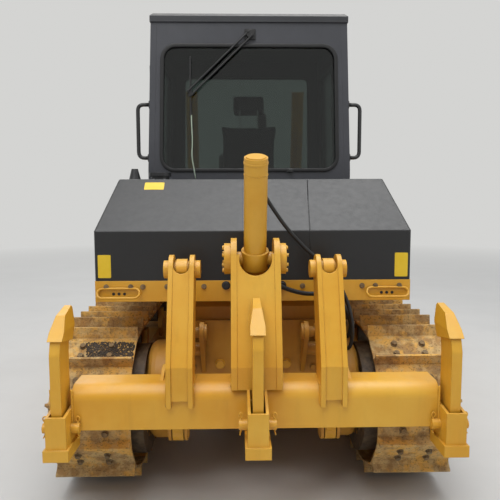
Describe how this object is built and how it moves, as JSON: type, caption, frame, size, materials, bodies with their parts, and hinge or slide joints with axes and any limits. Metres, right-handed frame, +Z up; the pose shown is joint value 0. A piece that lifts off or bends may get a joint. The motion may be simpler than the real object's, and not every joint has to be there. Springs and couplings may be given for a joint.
{
  "type": "crawler bulldozer with three-shank ripper",
  "caption": "Track-laying bulldozer with an enclosed cab, rear fuel tank, straight blade on outside push arms and a rear parallelogram ripper with its shanks stowed upside down.",
  "frame": {"origin": "on the floor, at the middle of the whole machine's length and width", "axes": "+Y forwards to the blade, +X to the machine's right, +Z up"},
  "size_m": [3.35, 5.147, 3.135],
  "materials": {
    "yellow_paint": "semi-gloss yellow machine enamel",
    "grey_paint": "semi-gloss dark grey enamel",
    "black_paint": "satin black enamel",
    "worn_steel": "worn and rusted track steel with dried mud",
    "bright_steel": "hard chrome plating",
    "glass": "tinted safety glass",
    "rubber": "matt black rubber",
    "fabric": "woven seat cloth",
    "plastic": "fine-grained moulded plastic"
  },
  "bodies": {
    "chassis": {"cab_floor": "grey_paint", "cab_front_wall": "grey_paint", "cab_glass": "glass", "cab_rear_wall": "grey_paint", "cab_roof": "black_paint", "cab_sides": "grey_paint", "consoles": "plastic", "engine_block": "black_paint", "equalizer_bar": "yellow_paint", "exhaust": "black_paint", "fenders": "yellow_paint", "final_drives": "yellow_paint", "fuel_tank": "grey_paint", "grille": "black_paint", "handrails": "black_paint", "hood": "yellow_paint", "hood_sides": "yellow_paint", "idlers": "worn_steel", "lamps": "black_paint", "main_frame": "yellow_paint", "plate_rings": "yellow_paint", "precleaner": "black_paint", "radiator_guard": "yellow_paint", "rear_case": "yellow_paint", "ripper_bracket": "yellow_paint", "ripper_hoses": "rubber", "rollers": "worn_steel", "seat_base": "black_paint", "seat_cushions": "fabric", "sprockets": "worn_steel", "tank_support": "yellow_paint", "track_frames": "yellow_paint", "track_left": "worn_steel", "track_right": "worn_steel"},
    "blade": {"moldboard": "yellow_paint", "cutting_edges": "black_paint", "push_arms": "yellow_paint", "braces": "yellow_paint"},
    "lift_barrels": {"lift_barrels": "yellow_paint"},
    "lift_rods": {"lift_rods": "bright_steel"},
    "ripper_arms": {"lower_arms": "yellow_paint"},
    "ripper_frame": {"ripper_frame": "yellow_paint", "shanks": "yellow_paint", "points": "yellow_paint"},
    "ripper_links": {"upper_links": "yellow_paint"},
    "ripper_barrel": {"ripper_barrel": "yellow_paint"},
    "ripper_rod": {"ripper_rod": "bright_steel"},
    "door_right": {"door_right": "grey_paint", "door_glass_right": "glass"},
    "door_left": {"door_left": "grey_paint", "door_glass_left": "glass"}
  },
  "joints": [
    {"name": "blade_lift", "type": "hinge", "parent": "chassis", "child": "blade", "pos_m": [0, -0.5565, 0.4], "axis": [1, 0, 0], "range_deg": [-9, 20]},
    {"name": "lift_swing", "type": "hinge", "parent": "chassis", "child": "lift_barrels", "pos_m": [0, 1.7235, 1.8], "axis": [1, 0, 0], "range_deg": [-0.72, 1.54]},
    {"name": "lift_stroke", "type": "slide", "parent": "lift_barrels", "child": "lift_rods", "axis": [0, 0.1824, -0.9832], "range_m": [-0.89215, 0.4153]},
    {"name": "ripper_lift", "type": "hinge", "parent": "chassis", "child": "ripper_arms", "pos_m": [0, -1.8765, 0.42], "axis": [1, 0, 0], "range_deg": [0, 77]},
    {"name": "ripper_level", "type": "hinge", "parent": "ripper_arms", "child": "ripper_frame", "pos_m": [0, -2.1065, 0.825], "axis": [1, 0, 0], "range_deg": [-78, 1]},
    {"name": "link_swing", "type": "hinge", "parent": "chassis", "child": "ripper_links", "pos_m": [0, -1.8765, 1.009], "axis": [1, 0, 0], "range_deg": [-1, 78]},
    {"name": "ripper_swing", "type": "hinge", "parent": "ripper_frame", "child": "ripper_barrel", "pos_m": [0, -2.0765, 1.467], "axis": [1, 0, 0], "range_deg": [-0.79, 40.53]},
    {"name": "ripper_stroke", "type": "slide", "parent": "ripper_barrel", "child": "ripper_rod", "axis": [0, 0.342, -0.9397], "range_m": [-0.26505, 0.0052]},
    {"name": "door_right_hinge", "type": "hinge", "parent": "chassis", "child": "door_right", "pos_m": [0.784, -0.4265, 1.33], "axis": [0, 0, 1], "range_deg": [-110, 0]},
    {"name": "door_left_hinge", "type": "hinge", "parent": "chassis", "child": "door_left", "pos_m": [-0.784, -0.4265, 1.33], "axis": [0, 0, 1], "range_deg": [0, 110]}
  ],
  "couplings": [
    {"joint": "lift_swing", "follows": "blade_lift", "ratio": 0.075},
    {"joint": "lift_stroke", "follows": "blade_lift", "m_per_rad": -2.4838},
    {"joint": "ripper_level", "follows": "ripper_lift", "ratio": -1},
    {"joint": "link_swing", "follows": "ripper_lift", "ratio": 1},
    {"joint": "ripper_swing", "follows": "ripper_lift", "ratio": 0.51602},
    {"joint": "ripper_stroke", "follows": "ripper_lift", "m_per_rad": -0.19336}
  ]
}
